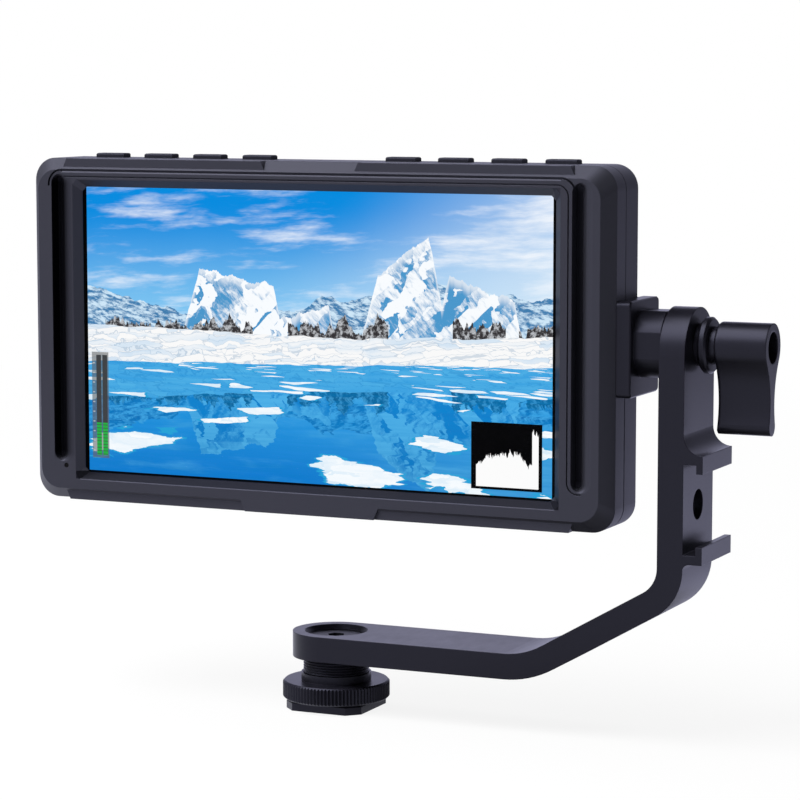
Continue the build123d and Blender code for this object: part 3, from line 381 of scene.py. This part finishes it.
class IceView(Sheet):
    """A made-up sea of ice under a blue sky, with a sound meter and a tone graph over it.

    across and up run from 0 to 1 over the lit area. height counts up from the shore, and down in the water,
    so that what stands on the shore is mirrored there.
    """

    def __init__(self, name):
        super().__init__(name)
        x, _, z = self.axes()
        self.across = (x - (PICTURE_X - PICTURE_W / 2)) / PICTURE_W
        self.up = (z - (PICTURE_Z - PICTURE_H / 2)) / PICTURE_H
        shore = 0.37 + self.across * 0.05 + self.line_noise(self.across, 6.0, 4) * 0.03
        self.ripple = self.noise(1.0, self.join(self.across * 6, self.up * 70)) - 0.5
        self.water = self.up.below(shore)
        self.height = abs(self.up - shore) + self.water * self.ripple * 0.03
        self.side = self.across + self.water * self.ripple * 0.02
        self.warp = self.noise(9.0, self.join(self.side * 2.0, self.height), detail=4) - 0.5
        self.floes = self.join(self.side * 12.0 + self.warp * 4.0, self.height * 70.0 + self.warp * 5.0)
        tint = self.cells(1.0, self.floes, output="Color")
        self.slab = tint * 0.5 + self.noise(0.6, self.floes, detail=5) * 0.6

    def sky(self):
        side, height = self.side, self.height
        blue = self.blend(height.ramp(0.1, 0.55), (0.22, 0.58, 0.90), (0.002, 0.26, 0.74))
        haze = (side * 0.9 - height * 0.7).ramp(0.1, 0.75) * 0.75
        hazy = self.blend(haze, blue, (0.72, 0.84, 0.95))
        wisps = self.noise(2.6, self.join(side * 1.3 - height * 0.7, height * 5.0), detail=7, rough=0.62)
        puffs = self.noise(1.3, self.join(side * 1.9, height * 3.1 + 4.0), detail=5, rough=0.55)
        cloud = (wisps * 0.6 + puffs * 0.5 + side * 0.06).ramp(0.55, 0.74)
        return self.blend(cloud * 0.85, hazy, (0.93, 0.96, 1.0))

    def far_coast(self, view):
        side, height = self.side, self.height
        top = 0.14 + (side * 7.0 + 2.4).sine() * 0.03 + self.line_noise(side + 3.1, 5.0, 6, 0.55) * 0.16
        face = self.noise(24, self.join(side * 1.8 + height * 1.2, height * 2.0), detail=7, rough=0.72)
        coast = self.blend(face.ramp(0.42, 0.58), (0.05, 0.20, 0.42), (0.62, 0.80, 0.94))
        return self.blend(height.below(top), view, coast)

    def deck(self, left, right, left_top, right_top):
        """The top of one iceberg: a sloping line that drops steeply at both ends."""
        line = (self.side - left) * ((right_top - left_top) / (right - left)) + left_top
        return line.least((self.side - left) * 6.0).least((right - self.side) * 8.0)

    def icebergs(self, view):
        side, height, warp = self.side, self.height, self.warp
        right_ice = self.deck(0.59, 0.80, 0.24, 0.50).largest(self.deck(0.74, 0.95, 0.33, 0.20))
        left_ice = self.deck(0.20, 0.45, 0.34, 0.26).largest(self.deck(0.40, 0.56, 0.15, 0.20))
        top = right_ice.largest(left_ice) + (self.line_noise(side + 7.7, 24.0, 6, 0.6) - 0.5) * 0.07
        turned = self.join(side * 2.8 - height * 0.9 + warp * 0.35, height * 1.1 + warp * 0.5)
        facet = self.cells(11.0, turned, output="Color")
        fluting = self.noise(24, self.join(side * 3.0 + height * 1.3, height * 0.8), detail=8, rough=0.7)
        lit = facet * 0.5 + fluting * 0.75 + (side * 21.0).sine() * 0.05
        ice = self.blend(lit.ramp(0.5, 0.74), (0.07, 0.31, 0.60), (0.94, 0.97, 1.0))
        crest = (top - height).ramp(0.05, 0.0) * 0.7
        ice = self.blend(crest, ice, (0.96, 0.98, 1.0))
        return self.blend(height.below(top), view, ice)

    def shore_rocks(self, view):
        side, height = self.side, self.height
        top = 0.06 + self.line_noise(side, 24.0, 6, 0.66) * 0.17 - self.line_noise(side + 5.5, 3.0, 1) * 0.02
        crust = self.noise(46, self.join(side * 2.0, height), detail=6, rough=0.72)
        rock = self.blend(crust.ramp(0.46, 0.60), (0.035, 0.032, 0.035), (0.50, 0.52, 0.55))
        rocky = self.line_noise(side + 1.7, 3.4, 2).above(0.47)
        return self.blend(height.below(top) * rocky, view, rock)

    def pack_ice(self, view):
        side, height = self.side, self.height
        top = 0.10 + (side * 4.0 + 2.0).sine() * 0.02 + self.line_noise(side + 9.3, 12.0, 3) * 0.02
        pack = self.blend(self.slab.ramp(0.3, 0.6), (0.66, 0.78, 0.90), (0.95, 0.95, 0.95))
        leads = self.cells(1.0, self.floes, "DISTANCE_TO_EDGE").below(0.035)
        pack = self.blend(leads * 0.35, pack, (0.10, 0.28, 0.48))
        return self.blend(height.below(top), view, pack)

    def sea(self, view):
        """Water that mirrors the view, with loose floes that grow towards the front."""
        deep = self.blend(self.up.ramp(0.0, 0.36), (0.0, 0.19, 0.52), (0.0, 0.27, 0.70))
        mirrored = self.blend(1.0, view, (0.14, 0.58, 0.90), "MULTIPLY")
        sea = self.blend(0.5 - self.ripple * 0.6, mirrored, deep)
        near = 1 / (0.5 - self.up.least(0.45))
        spot = self.join((self.across - 0.45) * near * 2.2 + self.ripple * 0.5, near * 2.6 + self.warp * 0.9)
        rim = self.cells(1.0, spot, "DISTANCE_TO_EDGE")
        loose = self.cells(1.0, spot, output="Color").above(0.68)
        sea = self.blend(loose * rim.above(0.07), sea, (0.02, 0.36, 0.68))
        crisp = self.blend(self.slab.ramp(0.3, 0.7), (0.70, 0.84, 0.95), (0.93, 0.97, 1.0))
        sea = self.blend(loose * rim.above(0.11), sea, crisp)
        return self.blend(self.water, view, sea)

    def sound_meter(self, view):
        """Two green bars on a dark ground, bottom left."""
        across, up = self.across, self.up
        ground = across.between(0.008, 0.046) * up.between(0.045, 0.42)
        bars = across.between(0.018, 0.029).largest(across.between(0.032, 0.043))
        segment = up.modulo(0.0115).above(0.0022)
        ticks = across.between(0.010, 0.0145) * up.between(0.05, 0.41) * up.modulo(0.0345).below(0.004)
        view = self.blend(ground * 0.7, view, (0.11, 0.12, 0.12))
        view = self.blend(bars * up.between(0.055, 0.41), view, (0.05, 0.055, 0.06))
        view = self.blend(bars * up.between(0.055, 0.17) * segment, view, (0.02, 0.42, 0.06))
        return self.blend(ticks * 0.7, view, (0.6, 0.62, 0.62))

    def tone_graph(self, view):
        """White heaps on a black ground, bottom right."""
        x = (self.across - 0.835) / 0.145
        y = (self.up - 0.02) / 0.225
        inside = x.between(0.0, 1.0) * y.between(0.0, 1.0)
        hump = (x * 3.14).sine() * 0.28 + self.line_noise(x, 7.0, 5, 0.7) * 0.55
        shelf = x.above(0.86) * 0.5
        heaps = y.below((hump + shelf).least(0.93)) * x.between(0.07, 0.95) * y.above(0.04)
        view = self.blend(inside, view, (0.0005, 0.0005, 0.0005))
        return self.blend(inside * heaps, view, (0.97, 0.97, 0.97))

    def glow(self):
        """The whole picture, with a black border round the lit area."""
        view = self.sky()
        layers = (self.far_coast, self.icebergs, self.shore_rocks, self.pack_ice, self.sea,
                  self.sound_meter, self.tone_graph)
        for layer in layers:
            view = layer(view)
        lit = self.across.between(0.0, 1.0) * self.up.between(0.0, 1.0)
        shown = self.blend(lit, (0.001, 0.001, 0.001), view)
        return self.set(Base_Color=(0.004, 0.004, 0.005), Roughness=0.3, Emission_Color=shown,
                        Emission_Strength=1.0, Specular_IOR_Level=0.0)


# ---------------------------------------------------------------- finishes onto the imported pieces
BLACK = (0.0075, 0.0072, 0.0108)
CASE = (0.0258, 0.026, 0.0335)
SMALL_EDGE = 0.12 * MM           # of the knurled wheel and the foot
LEVER_EDGE = 0.45 * MM
finishes = {
    "arm_black": brushed_anodised("arm_anodised", BLACK, along=(1, 0.4, 60)),
    "plate_black": satin_anodised("plate_anodised", BLACK),
    "lever_black": satin_anodised("lever_anodised", BLACK, 0.26, LEVER_EDGE),
    "wheel_black": satin_anodised("wheel_anodised", BLACK, edge=SMALL_EDGE),
    "foot_black": satin_anodised("foot_anodised", BLACK, edge=SMALL_EDGE),
    "washer_metal": satin_anodised("flange_anodised", BLACK),
    # the front frame's finish carries painted shade in its channels and on the window's slope
    "frame_black": moulded_plastic("frame_plastic", CASE, painted_shade_of=painted_frame_shade),
    "cover_black": moulded_plastic("cover_plastic", CASE),
    "plate_plastic": moulded_plastic("bay_plastic", CASE),
    "latch_plastic": moulded_plastic("latch_plastic", (0.03, 0.03, 0.036)),
    "jack_black": moulded_plastic("jack_plastic", (0.014, 0.014, 0.016)),
    "tact_black": moulded_plastic("switch_plastic", (0.014, 0.014, 0.016)),
    "washer_black": moulded_plastic("nylon_washer", (0.012, 0.012, 0.013)),
    "key_black": moulded_plastic("key_plastic", (0.014, 0.014, 0.019), gloss=0.45, shine=0.35),
    "light_white": moulded_plastic("light_guide", (0.8, 0.8, 0.8)),
    "grip_rubber": soft_rubber("grip_rubber", (0.02, 0.02, 0.021)),
    "gasket_black": soft_rubber("gasket_foam", (0.012, 0.012, 0.012)),
    "screw_black": turned_metal("black_oxide", (0.05, 0.05, 0.055), 0.34),
    "screw_steel": turned_metal("turned_steel", (0.5, 0.5, 0.52)),
    "bracket_steel": turned_metal("sheet_steel", (0.55, 0.55, 0.57)),
    "port_metal": turned_metal("plated_shell", (0.62, 0.62, 0.63), 0.22),
    "spring_steel": turned_metal("spring_wire", (0.6, 0.6, 0.61), 0.2),
    "sink_metal": turned_metal("sink_aluminium", (0.68, 0.68, 0.69)),
    "insert_brass": turned_metal("turned_brass", (0.75, 0.56, 0.25)),
    "contact_brass": turned_metal("gilt_contact", (0.85, 0.66, 0.3), 0.2),
    "board_green": circuit_board("circuit_board"),
    "glass_clear": window_glass("cover_glass"),
    "lcd_dark": IceView("screen_picture").glow(),
    "led_dark": smoked_lens("smoked_lens"),
}
for entry in frame["record"]["subparts"]:
    for material_slot in frame["nodes"][entry["node"]].material_slots:
        material_slot.material = finishes[entry["material_slot"]]


# ---------------------------------------------------------------- the battery catch's spring
COIL_WIRE = 0.4 * MM
COIL_TURNS = 4
COIL_STEPS = 24                  # points in a turn


def catch_coil():
    """The wire coil under the battery catch, made at its rest length; the real coil shortens as the catch
    slides down.
    """
    low, high = (Vector(corner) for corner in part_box("latch_spring"))
    middle = (low + high) / 2
    radius = (high.x - low.x - COIL_WIRE) / 2
    foot, rise = low.z + COIL_WIRE / 2, high.z - low.z - COIL_WIRE
    curve = bpy.data.curves.new("catch_coil", "CURVE")
    curve.dimensions = "3D"
    curve.bevel_depth = COIL_WIRE / 2
    curve.bevel_resolution = 3
    curve.use_fill_caps = True
    path = curve.splines.new("POLY")
    path.points.add(COIL_TURNS * COIL_STEPS)
    for step, point in enumerate(path.points):
        turn = math.radians(360 * step / COIL_STEPS)
        point.co = (middle.x + radius * math.cos(turn), middle.y + radius * math.sin(turn),
                    foot + rise * step / (COIL_TURNS * COIL_STEPS), 1)
    wound = bpy.data.objects.new("wound_wire", curve)
    coil = bpy.data.objects.new("catch_coil", bpy.data.meshes.new_from_object(wound))
    bpy.data.objects.remove(wound)
    coil.data.shade_smooth()
    coil.data.materials.append(finishes["spring_steel"])
    bpy.context.collection.objects.link(coil)
    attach(coil, "monitor")
    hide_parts("latch_spring")
    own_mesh(coil)


catch_coil()


# ---------------------------------------------------------------- the room as the dark finishes mirror it
PALE = (0.94, 0.95, 1.08)        # in front
BACKDROP = (0.84, 0.84, 1.16)    # behind
DIM = (0.015, 0.015, 0.02)       # the dark sides and the ceiling
RIGHT_SIDE = (0.985, 0.174)      # level directions, x and y
LEFT_SIDE = (-0.985, 0.174)
FAR_SIDE = (0.34, 0.94)


def toward(x, y, side):
    """How squarely the level direction x, y points at a side of the room."""
    return x * side[0] + y * side[1]


def dark_sides(x, y):
    """How dark the room is towards x, y: most on the right, less on the left and far behind."""
    right = toward(x, y, RIGHT_SIDE).ramp(0.7, 0.88)
    left = toward(x, y, LEFT_SIDE).ramp(0.64, 0.91) * 0.7
    behind = toward(x, y, FAR_SIDE).ramp(0.8, 0.97) * 0.75
    return right.largest(left).largest(behind)


def room_tone(graph, y, dark):
    """The colour of the room: bluer towards the back, and dim where it is dark."""
    return graph.blend(dark, graph.blend(y.ramp(0.1, 0.8), PALE, BACKDROP), DIM)


# ---------------------------------------------------------------- floor
FLOOR_SIZE = 4.0
FLOOR_SHADE = (0.3, 0.3, 0.31)   # the floor as a source of light on the object
FLOOR_WHITE = (0.8, 0.8, 0.8)    # the floor as seen, where it takes the shadow
FLOOR_FLECK = (0.78, 0.78, 0.78)
ARM_X = 0.08                     # the upright and the lever stand over this
NEAR_GLOW = 0.88                 # share of plain white under the object; the rest takes its shadow
SHADOW_END = (0.15, 0.8)         # distances over which the shadow fades out
MIRROR_START = (0.055, 0.085)    # and over which the mirrored floor lights up
DARK_START = (0.35, 0.95)        # and over which it takes on the room's dark sides


def floor_sheet():
    """A wide pale floor that reads white and keeps the shadow."""
    mesh = bpy.data.meshes.new("floor")
    sheet = bmesh.new()
    bmesh.ops.create_grid(sheet, x_segments=8, y_segments=8, size=FLOOR_SIZE)
    sheet.to_mesh(mesh)
    sheet.free()
    floor = bpy.data.objects.new("floor", mesh)
    bpy.context.collection.objects.link(floor)
    mesh.materials.append(pale_floor("pale_floor"))


def pale_floor(name):
    s = Sheet(name)
    x, y, _ = s.axes()
    off = x - ARM_X
    reach = (off * off + y * y) ** 0.5
    shown, mirrored = s.rays()
    pale = s.blend(s.noise(30, detail=2), FLOOR_FLECK, FLOOR_WHITE)
    s.set(Base_Color=s.blend(shown, FLOOR_SHADE, pale), Roughness=0.8, Specular_IOR_Level=0.0)
    dark = dark_sides(x / reach, y / reach) * reach.ramp(*DARK_START)
    tone = s.blend(shown, room_tone(s, y / reach, dark), (1, 1, 1))
    glow = s.add("ShaderNodeEmission", None, {"Color": tone, "Strength": 1.0})
    plain = NEAR_GLOW + reach.ramp(*SHADOW_END) * (1 - NEAR_GLOW)
    s.mix(shown * plain + mirrored * reach.ramp(*MIRROR_START), s.shader, glow)
    return s.material


# ---------------------------------------------------------------- world, lamps and camera
WORLD_LEVEL = 0.22
CEILING = (0.3, 0.55)            # how steeply up the mirrored room turns dark
BOX_SIDE = (-0.439, -0.369, 0.819)     # where a soft box stands in it
BOX_EDGE = (0.74, 0.97)
BOX_GAIN = 3.8
LAMP_AIM = (0, 0, 0.07)
LAMP_SIZE = (0.9, 0.7)
CAMERA_TURN = 24.348             # degrees round from the front, towards +X
CAMERA_RISE = 6.458
CAMERA_AIM = (-0.0007, -0.010, 0.0814)
CAMERA_DISTANCE = 0.63372
CAMERA_RIGHT = 0.018705
CAMERA_UP = -0.012941
SENSOR = 36.0                    # mm
FOCAL_PIXELS = 2970.12
IMAGE_PIXELS = 800


def soft_world():
    """A white room that fills the shadows, mirrored with dark sides, a dark ceiling and one soft box."""
    world = bpy.data.worlds.new("studio")
    bpy.context.scene.world = world
    g = Graph(world)
    x, y, z = g.axes(g.add("ShaderNodeTexCoord").outputs["Generated"])
    shown, mirrored = g.rays()
    box = (x * BOX_SIDE[0] + y * BOX_SIDE[1] + z * BOX_SIDE[2]).ramp(*BOX_EDGE)
    dark = dark_sides(x, y).largest(z.ramp(*CEILING)) * (1 - box)
    level = WORLD_LEVEL + shown.largest(mirrored) * (1 - WORLD_LEVEL) + mirrored * box * BOX_GAIN
    back = g.tree.nodes["Background"]
    g.feed(back.inputs["Color"], g.blend(mirrored, (1, 1, 1), room_tone(g, y, dark)))
    g.feed(back.inputs["Strength"], level)


def lamp(name, place, watts):
    """A large lamp that lights the object but isn't mirrored in it."""
    light = bpy.data.lights.new(name, "AREA")
    light.shape = "RECTANGLE"
    light.size, light.size_y = LAMP_SIZE
    light.energy = watts
    bulb = bpy.data.objects.new(name, light)
    bulb.visible_glossy = False
    bulb.location = place
    bulb.rotation_euler = (Vector(LAMP_AIM) - Vector(place)).to_track_quat("-Z", "Y").to_euler()
    bpy.context.collection.objects.link(bulb)


def studio_camera():
    turn, rise = math.radians(CAMERA_TURN), math.radians(CAMERA_RISE)
    back = Vector((math.sin(turn) * math.cos(rise), -math.cos(turn) * math.cos(rise), math.sin(rise)))
    right = Vector((math.cos(turn), math.sin(turn), 0))
    up = back.cross(right)
    data = bpy.data.cameras.new("camera")
    data.sensor_width = SENSOR
    data.sensor_fit = "HORIZONTAL"
    data.lens = SENSOR * FOCAL_PIXELS / IMAGE_PIXELS
    data.clip_start = 0.01
    camera = bpy.data.objects.new("camera", data)
    camera.location = Vector(CAMERA_AIM) + back * CAMERA_DISTANCE + right * CAMERA_RIGHT + up * CAMERA_UP
    camera.rotation_euler = back.to_track_quat("Z", "Y").to_euler()
    bpy.context.collection.objects.link(camera)
    bpy.context.scene.camera = camera


floor_sheet()
soft_world()
lamp("key_light", (-0.362, -0.431, 1.13), 18)
lamp("top_light", (-0.437, 0.159, 1.067), 5)
studio_camera()
bpy.context.scene.view_settings.view_transform = "Standard"
